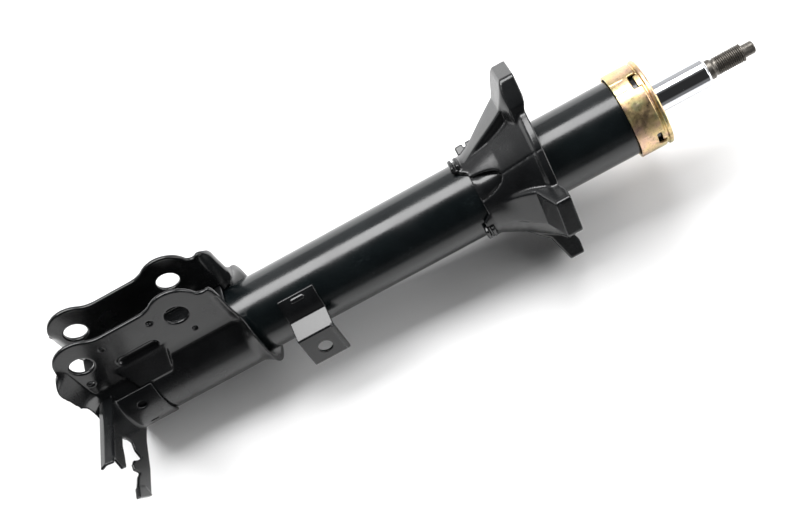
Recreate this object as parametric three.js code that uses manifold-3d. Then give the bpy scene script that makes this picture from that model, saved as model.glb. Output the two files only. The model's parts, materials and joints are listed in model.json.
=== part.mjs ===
// A twin-tube MacPherson strut damper lying on its side, in millimetres.
// The strut axis is +X, from the closed lower end (the origin) to the threaded stud.
// +Z is up as it lies. Angles about the axis are counted in degrees from +Z towards -Y.
import * as THREE from 'three';
import { mergeVertices } from 'three/addons/utils/BufferGeometryUtils.js';
import Module from 'manifold-3d';

const wasm = await Module();
wasm.setup();

// ---- driving dimensions ----
const TUBE_R = 25.5;            // reservoir tube, outside
const TUBE_WALL = 2.0;
const TUBE_TOP = 387.0;
const ROD_R = 10.0;
const RUN = 0.08;               // radial running clearance
const GAP = 0.3;                // between pieces that are welded or resting on each other

const EAR_ANGLE = -23;          // direction that the knuckle ears point in
const EAR_GAP = 26.0;           // between the ears' inner faces
const EAR_THICK = 3.0;
const EAR_DRAW = 0.5;           // how much wider each ear stands at the fold
const BOLT_OUT = 53.8;          // bolt holes, from the strut axis
const BOLT_X = [-1.7, 67.8];
const BOLT_HOLE_R = 7.5;
const LOBE_R = 18.2;            // the ears' rounded lobes
const LOBE_OUT = 57.3;
const LOBE_X = [1.0, 69.6];
const EAR_DIP = 68.6;           // ears' straight edge between the lobes
const BRACKET_LOW = -21.0;
const BRACKET_HIGH = 101.5;

const SENSOR_ANGLE = 55;        // direction of the sensor bracket's legs
const SHEET = 2.0;              // light bracket sheet
const HOSE_ANGLE = 17;

const SEAT_LOBE_ANGLES = [52, 135, 225, 315];
const SEAT_LOBE_OUT = 68.0;
const SEAT_LOBE_HALF = 13.5;
const SEAT_RIM_R = 52.0;
const SEAT_SHEET = 2.6;
const SEAT_FLOOR_X = 309.5;     // the face that carries the spring, at the axis
const SEAT_TILT = 0.079;        // slope of the seat plane, higher towards the lobe at -45 degrees

const CAP_LOW = 369.4;
const CAP_TOP = 391.3;
const CAP_R = 28.6;
const CAP_WINDOW_ANGLE = -17;

const SHOULDER_X = 429.2;       // rod shoulder under the stud
const THREAD_X = 435.4;
const THREAD_END = 453.7;
const ROD_END = 461.6;
const THREAD_R = 6.0;

const CYLINDER_R = 15.0;        // inner cylinder bore
const FINE = 48;                // steps round the large pieces
const COARSE = 32;              // steps round the small pieces
const MITRE_LIMIT = 0.3;        // keeps a sharp fold's corner from running out

// ---- helpers ----
const rad = THREE.MathUtils.degToRad;
const v2 = (x, y) => new THREE.Vector2(x, y);

// Lathe axis (local Y) onto +X, and extrusion depth (local Z) onto +X with local Y onto +Z.
const LATHE_TO_X = new THREE.Matrix4().makeBasis(
  new THREE.Vector3(0, 0, 1), new THREE.Vector3(1, 0, 0), new THREE.Vector3(0, 1, 0));
const DEPTH_TO_X = new THREE.Matrix4().makeBasis(
  new THREE.Vector3(0, 1, 0), new THREE.Vector3(0, 0, 1), new THREE.Vector3(1, 0, 0));

function solid(geometry) {
  const bare = geometry.clone();
  bare.deleteAttribute('normal');
  bare.deleteAttribute('uv');
  const merged = mergeVertices(bare, 1e-4);
  const source = merged.index.array;
  const kept = [];
  for (let i = 0; i < source.length; i += 3) {
    const [a, b, c] = [source[i], source[i + 1], source[i + 2]];
    if (a !== b && b !== c && c !== a) kept.push(a, b, c);
  }
  const vertProperties = new Float32Array(merged.attributes.position.array);
  if (signedVolume(vertProperties, kept) < 0) kept.reverse();
  const triVerts = new Uint32Array(kept);
  return new wasm.Manifold(new wasm.Mesh({ numProp: 3, vertProperties, triVerts }));
}

function signedVolume(points, triangles) {
  const at = (i) => new THREE.Vector3().fromArray(points, 3 * i);
  let total = 0;
  for (let i = 0; i < triangles.length; i += 3) {
    total += at(triangles[i]).dot(at(triangles[i + 1]).cross(at(triangles[i + 2])));
  }
  return total / 6;
}

// Cuts can leave a crumb of nearly no volume; the piece is the largest shell.
function geometryOf(manifold) {
  const shells = manifold.decompose().sort((a, b) => b.volume() - a.volume());
  const { vertProperties, triVerts } = shells[0].getMesh();
  const geometry = new THREE.BufferGeometry();
  geometry.setAttribute('position', new THREE.BufferAttribute(new Float32Array(vertProperties), 3));
  geometry.setIndex(new THREE.BufferAttribute(new Uint32Array(triVerts), 1));
  geometry.computeVertexNormals();
  return geometry;
}

// A turned piece. The profile is [radius, x] pairs; a ring's profile closes on itself.
function turned(profile, steps = COARSE) {
  const points = profile.map(([r, x]) => v2(r, x));
  if (profile[0][0] > 0) points.push(points[0].clone());
  return solid(new THREE.LatheGeometry(points, steps).applyMatrix4(LATHE_TO_X));
}

// A section in the plane across the axis (local X, Y), carried along +X from `low` to `high`.
function carried(shape, low, high, steps = 1) {
  const options = { depth: high - low, bevelEnabled: false, steps, curveSegments: 12 };
  return new THREE.ExtrudeGeometry(shape, options).translate(0, 0, low).applyMatrix4(DEPTH_TO_X);
}

// A sheet metal section: a centre line given a thickness, with mitred corners.
function strip(line, thickness) {
  const step = (i) => line[i + 1].clone().sub(line[i]).normalize();
  const left = [];
  const right = [];
  line.forEach((point, i) => {
    const out = step(Math.min(i, line.length - 2));
    const mean = step(Math.max(i - 1, 0)).add(out).normalize();
    const reach = thickness / 2 / Math.max(mean.dot(out), MITRE_LIMIT);
    const side = v2(-mean.y, mean.x).multiplyScalar(reach);
    left.push(point.clone().add(side));
    right.push(point.clone().sub(side));
  });
  return new THREE.Shape([...left, ...right.reverse()]);
}

// Points on an arc about the axis, by angle in degrees from local +Y towards local -X.
function arc(radius, from, to, steps) {
  const points = [];
  for (let i = 0; i <= steps; i++) {
    const angle = rad(from + (to - from) * i / steps);
    points.push(v2(-radius * Math.sin(angle), radius * Math.cos(angle)));
  }
  return points;
}

// A round cutter along any direction.
function cutter(radius, length, centre, direction, steps = 24) {
  const turn = new THREE.Quaternion().setFromUnitVectors(new THREE.Vector3(0, 1, 0), direction);
  const geometry = new THREE.CylinderGeometry(radius, radius, length, steps);
  return solid(geometry.applyQuaternion(turn).translate(centre.x, centre.y, centre.z));
}

// A block with its centre at `out` along the direction `angle`, turned with it.
function block(sizeX, across, outward, x, out, angle) {
  const geometry = new THREE.BoxGeometry(sizeX, across, outward).translate(x, 0, out);
  return solid(geometry.rotateX(rad(angle)));
}

const smooth = (low, high, value) => THREE.MathUtils.smoothstep(value, low, high);

// ---- materials ----
const paint = (colour = 0x15181a) => new THREE.MeshStandardMaterial(
  { color: colour, roughness: 0.32, metalness: 0.4 });
const metal = (colour, roughness) => new THREE.MeshStandardMaterial(
  { color: colour, roughness, metalness: 1.0 });
const polymer = (colour, roughness) => new THREE.MeshStandardMaterial(
  { color: colour, roughness, metalness: 0.0 });
const STEEL = 0x9a9c9e;

const group = new THREE.Group();
function add(name, manifold, material, parent = group) {
  const mesh = new THREE.Mesh(geometryOf(manifold), material);
  mesh.name = name;
  parent.add(mesh);
}

// ---- reservoir: tube and its closed end ----
const tubeBore = TUBE_R - TUBE_WALL;
add('outer_tube', turned([
  [tubeBore, 4.3], [TUBE_R, 4.3], [TUBE_R, TUBE_TOP - 1.5], [TUBE_R - 1.5, TUBE_TOP],
  [20, TUBE_TOP], [20, TUBE_TOP - 2], [tubeBore - 0.4, TUBE_TOP - 2.2], [tubeBore, TUBE_TOP - 2.6],
], FINE), paint(0x12181b));

const LEDGE_X = 19.7;           // ledge in the base cup that carries the base valve
add('base_cup', turned([
  [0, 0], [23, 0], [TUBE_R, 2.5], [TUBE_R, 4], [tubeBore - GAP, 4], [tubeBore - GAP, LEDGE_X],
  [16, LEDGE_X], [16, 6], [0, 6],
], FINE), paint());

// ---- knuckle bracket: one pressing wrapped round the tube, with two ears ----
const earGroup = new THREE.Group();
earGroup.rotation.x = rad(EAR_ANGLE);
group.add(earGroup);

// The ears are parallel where the knuckle sits and stand a little wider at the fold.
function bracketSection() {
  const radius = TUBE_R + GAP + EAR_THICK / 2;
  const across = (EAR_GAP + EAR_THICK) / 2;
  const start = THREE.MathUtils.radToDeg(Math.asin((across + EAR_DRAW) / radius));
  const ear = [80, 58, 46, 31].map((out) => v2(across, out));
  const mirrored = ear.map((point) => v2(-point.x, point.y));
  return strip([...mirrored, ...arc(radius, start, 360 - start, 24), ...ear.reverse()], EAR_THICK);
}

// The blank is carried in unit steps, and each step then moves to its station along the strut.
const BRACKET_STATIONS = [-22, -19.5, -17, -14.5, -12, -9, -6, 90, 92.5, 95, 97.5, 100, 102.5];
function spaced(geometry) {
  const position = geometry.attributes.position;
  for (let i = 0; i < position.count; i++) {
    position.setX(i, BRACKET_STATIONS[Math.round(position.getX(i))]);
  }
  return geometry;
}

// Both ends of the bracket flare outward into a lip; the lip fades out towards the lobes.
function flareAmount(x, out) {
  const onWrap = 1 - smooth(15, 30, out);
  const fade = 1 - smooth(46, 58, out);
  const lowStart = THREE.MathUtils.lerp(-11.5, -8, onWrap);
  const lowReach = THREE.MathUtils.lerp(8, 5, onWrap);
  const lowLength = THREE.MathUtils.lerp(9.5, 7, onWrap);
  const low = Math.max(0, (lowStart - x) / lowLength);
  const high = Math.max(0, (x - 91.5) / 10);
  return lowReach * low ** 1.6 * fade + 5.6 * high ** 1.6 * fade;
}

function flared(geometry) {
  const position = geometry.attributes.position;
  for (let i = 0; i < position.count; i++) {
    const [x, y, z] = [position.getX(i), position.getY(i), position.getZ(i)];
    const amount = flareAmount(x, z);
    const onEar = smooth(18, 28, z);
    const away = v2(THREE.MathUtils.lerp(y / Math.hypot(y, z), Math.sign(y), onEar),
      THREE.MathUtils.lerp(z / Math.hypot(y, z), 0, onEar));
    position.setXYZ(i, x, y + amount * away.x, z + amount * away.y);
  }
  return geometry;
}

// Outline of the bracket seen across the ears: x along the strut, y outward.
function bracketOutline() {
  const shape = new THREE.Shape();
  shape.moveTo(-15, -60);
  shape.lineTo(-15, 14);
  shape.quadraticCurveTo(-16, 24, BRACKET_LOW, 28);
  shape.lineTo(BRACKET_LOW, 46);
  shape.quadraticCurveTo(-20, 55, LOBE_X[0] - LOBE_R, LOBE_OUT);
  shape.absarc(LOBE_X[0], LOBE_OUT, LOBE_R, Math.PI, rad(50), true);
  shape.quadraticCurveTo(LOBE_X[0] + 16, EAR_DIP, LOBE_X[0] + 21, EAR_DIP);
  shape.lineTo(LOBE_X[1] - 21, EAR_DIP);
  shape.quadraticCurveTo(LOBE_X[1] - 16, EAR_DIP, LOBE_X[1] - 0.64 * LOBE_R, LOBE_OUT + 0.77 * LOBE_R);
  shape.absarc(LOBE_X[1], LOBE_OUT, LOBE_R, rad(130), rad(18), true);
  shape.quadraticCurveTo(90, 59, 94, 64);
  shape.quadraticCurveTo(96.5, 62, 95.5, 52);
  shape.quadraticCurveTo(95, 32, 99, 24);
  shape.quadraticCurveTo(BRACKET_HIGH, 18, BRACKET_HIGH, 8);
  shape.lineTo(BRACKET_HIGH, -60);
  return shape;
}

function acrossEars(shape, half) {
  const options = { depth: 2 * half, bevelEnabled: false, curveSegments: 16 };
  // local X stays along the strut, local Y becomes outward (+Z), depth runs along -Y
  return solid(new THREE.ExtrudeGeometry(shape, options).translate(0, 0, -half).rotateX(Math.PI / 2));
}

// Pressed gusset that steps out of each ear and down over the fold.
function gusset(side) {
  const ear = EAR_GAP / 2 + EAR_THICK;
  const points = [[ear - 1, 45], [ear, 45], [ear + 3.4, 38], [ear + 6.2, 19], [ear + 4.6, 16.5], [ear - 1, 22]];
  const shape = new THREE.Shape(points.map(([across, out]) => v2(side * across, out)));
  return solid(carried(shape, 15.5, 44));
}

const acrossDirection = new THREE.Vector3(0, 1, 0);
let bracket = solid(flared(spaced(carried(bracketSection(), 0, BRACKET_STATIONS.length - 1,
  BRACKET_STATIONS.length - 1))))
  .intersect(acrossEars(bracketOutline(), 60));
for (const side of [-1, 1]) {
  bracket = bracket.add(gusset(side));
}
for (const x of BOLT_X) {
  bracket = bracket.subtract(cutter(BOLT_HOLE_R, 80, new THREE.Vector3(x, 0, BOLT_OUT), acrossDirection));
}
add('knuckle_bracket', bracket, paint(), earGroup);

const closingOut = TUBE_R + GAP;
const closing = new THREE.BoxGeometry(105.5, EAR_GAP - 2 * GAP, EAR_THICK)
  .translate(38.7, 0, closingOut + EAR_THICK / 2);
add('bracket_closing_plate', solid(closing), paint(), earGroup);

// ---- sensor bracket: saddle on the wrap, then a forked plate across the strut ----
const sensorGroup = new THREE.Group();
sensorGroup.rotation.x = rad(SENSOR_ANGLE);
group.add(sensorGroup);

const wrapOuter = TUBE_R + GAP + EAR_THICK;
const saddleInner = wrapOuter + GAP;
const SADDLE_FROM = -26;
const SADDLE_TO = 44;
const LEG_PLATE_X = -3.5;

// Outline of the forked plate: local X across (towards -X is away from the ears), local Y outward.
function legOutline() {
  const root = arc(saddleInner, SADDLE_TO, -36, 8);
  const legs = [[-17, 81], [-5, 81], [-5.4, 62], [-5.4, 55], [0, 50.5], [8, 48], [16, 51], [18.5, 56],
    [13, 62], [6, 64], [5.5, 70], [14, 71], [9.5, 80], [10.3, 93], [25, 82], [27, 54], [23.5, 28]];
  return new THREE.Shape([...root, ...legs.map(([across, out]) => v2(-across, out))]);
}

const saddle = strip(arc(saddleInner + SHEET / 2, SADDLE_FROM, SADDLE_TO, 10), SHEET);
const rolledEdge = new THREE.BoxGeometry(8, SHEET, 52).translate(LEG_PLATE_X - 3, 16, 53);
const saddleHole = new THREE.Vector3(0, 0, 30).applyAxisAngle(new THREE.Vector3(1, 0, 0), rad(-5));
const sensorBracket = solid(carried(saddle, LEG_PLATE_X, 25.5))
  .add(solid(carried(legOutline(), LEG_PLATE_X, LEG_PLATE_X + SHEET)))
  .add(solid(rolledEdge))
  .subtract(cutter(2.6, 14, saddleHole.setX(12), new THREE.Vector3(0, 0, 1)));
add('sensor_bracket', sensorBracket, paint(), sensorGroup);

// ---- hose bracket: saddle on the tube, flange and drilled tab ----
const hoseGroup = new THREE.Group();
hoseGroup.rotation.x = rad(HOSE_ANGLE);
group.add(hoseGroup);

const HOSE_LOW = 122;
const HOSE_HIGH = 148;
const hoseFold = v2(-28.6, 27.4);
const hoseTip = v2(-46.2, 10.8);
const hoseLine = [...arc(TUBE_R + GAP + SHEET / 2, 4, 37, 8), hoseFold, hoseTip];
const tabMiddle = hoseFold.clone().lerp(hoseTip, 0.56);
const tabNormal = new THREE.Vector3(0, hoseFold.y - hoseTip.y, hoseTip.x - hoseFold.x).normalize();
const tabHole = new THREE.Vector3((HOSE_LOW + HOSE_HIGH) / 2, tabMiddle.x, tabMiddle.y);
const hoseBracket = solid(carried(strip(hoseLine, SHEET), HOSE_LOW, HOSE_HIGH))
  .subtract(cutter(4.7, 12, tabHole, tabNormal));
add('hose_bracket', hoseBracket, paint(), hoseGroup);

// ---- spring seat: neck on the tube, cone, and a flat brim with four walled lobes ----
// How far a ray at this angle runs inside a bar along the nearest lobe.
function lobeReach(angle, half, out) {
  const offs = SEAT_LOBE_ANGLES.map((lobe) => Math.acos(Math.cos(angle - rad(lobe))));
  const off = Math.min(...offs);
  return Math.min(out / Math.cos(off), half / Math.max(Math.sin(off), 1e-6));
}

// Each profile point: [plain radius, lobe radius (0 for none), lobe half width, x, lobe x].
function seatProfile() {
  const neck = TUBE_R + GAP;
  const sheet = SEAT_SHEET;
  return [
    [neck, 0, 0, 262, 262],
    [neck + sheet, 0, 0, 262, 262],
    [neck + sheet, 30, 10, 268, 267],
    [neck + sheet + 8, 42, 14, 286, 286],
    [SEAT_RIM_R - 2.4, 51, 13, 306.3, 299.5],
    [SEAT_RIM_R, SEAT_LOBE_OUT, SEAT_LOBE_HALF, 307.5, 304.5],
    [SEAT_RIM_R, SEAT_LOBE_OUT, SEAT_LOBE_HALF, 312, 315],
    [SEAT_RIM_R - sheet, SEAT_LOBE_OUT - sheet, SEAT_LOBE_HALF - sheet, 312, 315],
    [SEAT_RIM_R - sheet, SEAT_LOBE_OUT - sheet, SEAT_LOBE_HALF - sheet, SEAT_FLOOR_X, SEAT_FLOOR_X],
    [SEAT_RIM_R - 5.5, 50, 10, SEAT_FLOOR_X, SEAT_FLOOR_X],
    [neck + 9.4, 40, 10, 289.5, 289],
    [neck, 27.5, 8, 271.5, 271],
  ];
}

function seatGeometry() {
  const profile = seatProfile();
  const steps = 72;
  const points = profile.map(([plain, , , x]) => v2(plain, x));
  points.push(points[0].clone());
  const geometry = new THREE.LatheGeometry(points, steps).applyMatrix4(LATHE_TO_X);
  const position = geometry.attributes.position;
  const count = points.length;
  for (let i = 0; i < position.count; i++) {
    const [plain, lobe, half, x, lobeX] = profile[i % count % profile.length];
    const angle = Math.atan2(-position.getY(i), position.getZ(i));
    const reach = lobe ? Math.max(plain, lobeReach(angle, half, lobe)) : plain;
    const share = lobe > plain ? (reach - plain) / (lobe - plain) : 0;
    const [y, z] = [-reach * Math.sin(angle), reach * Math.cos(angle)];
    const lean = SEAT_TILT * (y + z) / Math.SQRT2 * smooth(268, 300, x);
    position.setXYZ(i, THREE.MathUtils.lerp(x, lobeX, Math.min(share, 1)) + lean, y, z);
  }
  return geometry;
}

// Stop lugs folded out of the seat's neck.
let seat = solid(seatGeometry());
for (const [angle, x, across, height] of [[-37, 262, 9, 6], [76, 263, 9, 6], [-95, 273, 12, 9]]) {
  seat = seat.add(block(5, across, height, x, TUBE_R + GAP + height / 2, angle));
}
add('spring_seat', seat, paint());

// ---- bump stop cap: plated skirt over the tube's end, with a flange for the bump stop ----
let cap = turned([
  [26.8, CAP_LOW], [CAP_R, CAP_LOW], [CAP_R, 386.2], [27.4, 387], [27.4, 388.1], [29, 388.7],
  [29, CAP_TOP - 0.6], [28.4, CAP_TOP], [13, CAP_TOP], [13, 389.2], [25.8, 389.2], [26.8, 388],
], FINE);
for (let i = 0; i < 4; i++) {
  cap = cap.subtract(block(5.6, 11, 8, 384.4, 28, CAP_WINDOW_ANGLE + 90 * i));
}
add('bump_stop_cap', cap, metal(0xc9ae78, 0.38));

// ---- rod guide and seal pack in the tube's top ----
const guideR = tubeBore - GAP;
const CYLINDER_TOP = 363.7;
add('rod_guide', turned([
  [11.7, 358], [CYLINDER_R - 0.15, 358], [CYLINDER_R - 0.15, 364], [guideR, 364], [guideR, 379.8],
  [18.5, 379.8], [18.5, 376], [11.7, 376],
]), metal(0x6e6a64, 0.6));
add('guide_bush', turned([[ROD_R + RUN, 358.5], [11.5, 358.5], [11.5, 375.5], [ROD_R + RUN, 375.5]]),
  metal(0x8d6f4a, 0.45));
add('rod_seal', turned([
  [ROD_R + RUN, 377], [11.6, 376.3], [18.2, 376.3], [18.2, 381.6], [12.5, 381.6], [11.2, 380],
  [ROD_R + RUN, 381],
]), polymer(0x14110f, 0.7));
const sealRing = new THREE.TorusGeometry(21, 0.95, 6, COARSE).rotateY(Math.PI / 2).translate(380.9, 0, 0);
add('guide_o_ring', solid(sealRing), polymer(0x161616, 0.6));
add('seal_washer', turned([[10.8, 382.1], [guideR, 382.1], [guideR, 384.3], [10.8, 384.3]]),
  metal(STEEL, 0.4));

// ---- inner cylinder and base valve ----
add('inner_cylinder', turned([
  [CYLINDER_R, 26], [CYLINDER_R + 1.3, 26], [CYLINDER_R + 1.3, CYLINDER_TOP], [CYLINDER_R, CYLINDER_TOP],
]), metal(STEEL, 0.35));
const PIN_R = 4.0;
let valveBody = turned([
  [PIN_R + 0.2, 20], [19, 20], [19, 25.7], [CYLINDER_R - 0.2, 25.7], [CYLINDER_R - 0.2, 32],
  [PIN_R + 0.2, 32],
]);
for (let i = 0; i < 6; i++) {
  const spot = new THREE.Vector3(26, 0, 10.6).applyAxisAngle(new THREE.Vector3(1, 0, 0), i * Math.PI / 3);
  valveBody = valveBody.subtract(cutter(1.4, 20, spot, new THREE.Vector3(1, 0, 0), 8));
}
add('base_valve_body', valveBody, metal(0x77746e, 0.55));
add('base_valve_discs', turned([
  [PIN_R + 0.2, 17.7], [8.4, 17.7], [8.4, 18.7], [8.9, 18.7], [8.9, 19.8], [PIN_R + 0.2, 19.8],
]), metal(STEEL, 0.3));
add('base_valve_pin', turned([
  [0, 12.6], [7, 12.6], [7, 17.5], [PIN_R, 17.5], [PIN_R, 36.4], [9, 36.4], [9, 38.6], [0, 38.6],
]), metal(STEEL, 0.4));
add('intake_plate', turned([[6, 32.2], [13.6, 32.2], [13.6, 33.3], [6, 33.3]]), metal(STEEL, 0.3));

function star(inner, outer, tips) {
  const shape = new THREE.Shape();
  for (let i = 0; i < 2 * tips; i++) {
    const angle = Math.PI * i / tips;
    const reach = i % 2 ? inner + 2 : outer;
    shape[i ? 'lineTo' : 'moveTo'](reach * Math.cos(angle), reach * Math.sin(angle));
  }
  shape.holes.push(new THREE.Path().absarc(0, 0, inner, 0, 2 * Math.PI, true));
  return shape;
}
add('intake_spring', solid(carried(star(5, 12.8, 6), 33.6, 34.1)), metal(0xb8babd, 0.25));

// ---- piston rod with its stud; the thread is a plain cylinder over its crests ----
function stud() {
  return [
    [8.6, SHOULDER_X], [6.6, SHOULDER_X], [6.6, THREAD_X - 2.6], [THREAD_R - 0.7, THREAD_X - 1.4],
    [THREAD_R, THREAD_X], [THREAD_R, THREAD_END - 1], [4.6, THREAD_END], [4.2, THREAD_END],
    [4.2, ROD_END - 0.7], [3.6, ROD_END], [0, ROD_END],
  ];
}
const STUB_R = 6.0;
add('piston_rod', turned([
  [0, 41], [STUB_R - 0.8, 41], [STUB_R, 41.8], [STUB_R, 67.6], [ROD_R, 67.6], [ROD_R, SHOULDER_X - 1.4],
  ...stud(),
]), metal(0xd9dde0, 0.08));

// ---- piston, its valve discs and the rebound stop ----
const stubBore = STUB_R + 0.1;
let piston = turned([
  [stubBore, 52.3], [14.6, 52.3], [14.6, 53.6], [13.3, 53.6], [13.3, 62.2], [14.6, 62.2],
  [14.6, 64], [stubBore, 64],
]);
for (let i = 0; i < 8; i++) {
  const spot = new THREE.Vector3(58, 0, 10.2).applyAxisAngle(new THREE.Vector3(1, 0, 0), i * Math.PI / 4);
  piston = piston.subtract(cutter(1.3, 20, spot, new THREE.Vector3(1, 0, 0), 8));
}
add('piston', piston, metal(0x6f6c67, 0.55));
add('piston_band', turned([[13.5, 53.9], [CYLINDER_R - 0.12, 53.9], [CYLINDER_R - 0.12, 61.9], [13.5, 61.9]]),
  polymer(0x2b2a2c, 0.55));
add('rebound_discs', turned([
  [stubBore, 50.1], [8.2, 50.1], [8.2, 50.9], [10.6, 50.9], [10.6, 51.5], [12.4, 51.5], [12.4, 52.1],
  [stubBore, 52.1],
]), metal(STEEL, 0.3));
const hexagon = new THREE.Shape();
for (let i = 0; i < 6; i++) {
  const angle = Math.PI * i / 3;
  hexagon[i ? 'lineTo' : 'moveTo'](9.8 * Math.cos(angle), 9.8 * Math.sin(angle));
}
hexagon.holes.push(new THREE.Path().absarc(0, 0, stubBore + 0.05, 0, 2 * Math.PI, true));
add('piston_nut', solid(carried(hexagon, 43, 49.9)), metal(0x8b8d8f, 0.4));
add('check_spacer', turned([[stubBore, 64.2], [7.6, 64.2], [7.6, 66.3], [stubBore, 66.3]]), metal(STEEL, 0.3));
add('check_washer', turned([[stubBore, 66.5], [9.2, 66.5], [9.2, 67.4], [stubBore, 67.4]]), metal(STEEL, 0.3));
add('check_plate', turned([[8, 64.2], [13, 64.2], [13, 65.1], [8, 65.1]]), metal(STEEL, 0.3));
add('rebound_stop', turned([[ROD_R + 0.1, 176], [13.6, 176], [13.6, 180], [12, 182], [ROD_R + 0.1, 182]]),
  metal(STEEL, 0.45));
add('rebound_bumper', turned([
  [ROD_R + 0.1, 182.3], [13.8, 182.3], [14.4, 184.5], [14.4, 189], [13.4, 192], [ROD_R + 0.1, 192],
]), polymer(0x151515, 0.7));

export default group;
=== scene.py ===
"""A MacPherson strut damper, laid on a pale studio floor.

The strut axis is +X, the closed lower end at the origin and the threaded stud at +X.
Angles about the axis are in degrees from +Z towards -Y. Shapes are worked out in mm.
"""

import json
import math

import bpy
import numpy as np
from mathutils import Matrix, Vector


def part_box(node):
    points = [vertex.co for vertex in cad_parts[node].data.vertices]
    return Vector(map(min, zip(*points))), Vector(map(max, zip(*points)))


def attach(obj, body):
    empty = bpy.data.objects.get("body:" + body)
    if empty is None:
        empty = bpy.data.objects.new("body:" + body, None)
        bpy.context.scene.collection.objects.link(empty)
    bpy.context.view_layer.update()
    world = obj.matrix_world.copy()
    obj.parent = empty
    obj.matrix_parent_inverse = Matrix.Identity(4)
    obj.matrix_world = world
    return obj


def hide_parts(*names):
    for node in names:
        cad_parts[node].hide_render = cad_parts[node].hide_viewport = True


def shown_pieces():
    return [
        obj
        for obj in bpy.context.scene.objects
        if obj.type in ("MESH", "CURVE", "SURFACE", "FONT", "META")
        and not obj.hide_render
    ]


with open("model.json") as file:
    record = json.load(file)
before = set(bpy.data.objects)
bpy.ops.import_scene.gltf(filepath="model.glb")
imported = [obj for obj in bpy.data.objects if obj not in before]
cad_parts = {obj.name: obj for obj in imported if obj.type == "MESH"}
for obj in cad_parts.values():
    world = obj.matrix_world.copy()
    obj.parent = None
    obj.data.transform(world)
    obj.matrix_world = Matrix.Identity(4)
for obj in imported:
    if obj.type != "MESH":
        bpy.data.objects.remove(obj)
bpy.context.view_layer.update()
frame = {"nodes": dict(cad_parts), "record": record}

MM = 0.001


def extent(node):
    """The low and high corner of a CAD node, in mm."""
    low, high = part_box(node)
    return low / MM, high / MM


# ---- driving sizes, from the frame ----
TUBE_LOW, TUBE_HIGH = extent("outer_tube")
TUBE_R = TUBE_HIGH.y
TUBE_TOP = TUBE_HIGH.x
CAP_LOW, CAP_HIGH = extent("bump_stop_cap")
CAP_RIM_R = CAP_HIGH.y
ROD_LOW, ROD_HIGH = extent("piston_rod")
ROD_R = ROD_HIGH.y
ROD_END = ROD_HIGH.x
HOSE_LOW, HOSE_HIGH = extent("hose_bracket")
BRACKET_LOW, BRACKET_HIGH = extent("knuckle_bracket")
PLATE_LOW, PLATE_HIGH = extent("bracket_closing_plate")
SADDLE_END = extent("sensor_bracket")[1].x
CUP_TOP = extent("base_cup")[1].x

EAR_ANGLE = -23                 # where the ears, the sensor bracket and the hose bracket point
SENSOR_ANGLE = 55
HOSE_ANGLE = 17
GAP = 0.3                       # between welded pieces


# ---- fields: signed distances in mm, negative inside ----
def samples(low, high, step):
    """Sample positions along x, y and z, as three arrays that broadcast together."""
    axes = [np.arange(a, b + step, step, dtype=np.float32) for a, b in zip(low, high)]
    return np.meshgrid(*axes, indexing="ij", sparse=True)


def blend(a, b, radius):
    """The union of two fields, with a fillet where they meet."""
    mix = np.clip(0.5 + 0.5 * (b - a) / radius, 0, 1)
    return b + (a - b) * mix - radius * mix * (1 - mix)


def trim(a, b, radius):
    """What two fields have in common, with the edge rounded."""
    return -blend(-a, -b, radius)


def cut(a, b, radius):
    """The first field with the second taken out of it."""
    return -blend(-a, b, radius)


def line_distance(points, u, v):
    """Distance from an open line through the points."""
    best = np.float32(1e9)
    for (au, av), (bu, bv) in zip(points, points[1:]):
        eu, ev = bu - au, bv - av
        if math.hypot(eu, ev) < 1e-6:
            continue
        du, dv = u - au, v - av
        along = np.clip((du * eu + dv * ev) / (eu * eu + ev * ev), 0, 1)
        best = np.minimum(best, (du - eu * along) ** 2 + (dv - ev * along) ** 2)
    return np.sqrt(best)


def outline_distance(points, u, v):
    """Signed distance from a closed outline."""
    closed = list(points) + [points[0]]
    inside = np.zeros(np.broadcast(u, v).shape, bool)
    for (au, av), (bu, bv) in zip(closed, closed[1:]):
        if av != bv:
            inside ^= ((av > v) != (bv > v)) & (u < au + (v - av) * (bu - au) / (bv - av))
    return np.where(inside, -1, 1).astype(np.float32) * line_distance(closed, u, v)


def slab(value, low, high):
    """The field of everything between two values."""
    return np.maximum(low - value, value - high)


def ramp(value, low, high):
    """A smooth step from 0 to 1."""
    share = np.clip((value - low) / (high - low), 0, 1)
    return share * share * (3 - 2 * share)


def arc(centre, radius, start, end, steps=12):
    """Points on a circle; degrees run from the first axis towards the second."""
    turns = np.radians(np.linspace(start, end, steps + 1))
    return [(centre[0] + radius * math.cos(t), centre[1] + radius * math.sin(t)) for t in turns]


def bow(start, pull, end, steps=8):
    """Points after `start` on a quadratic curve to `end`."""
    points = []
    for i in range(1, steps + 1):
        t = i / steps
        points.append(tuple((1 - t) ** 2 * s + 2 * t * (1 - t) * p + t * t * e
                            for s, p, e in zip(start, pull, end)))
    return points


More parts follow.
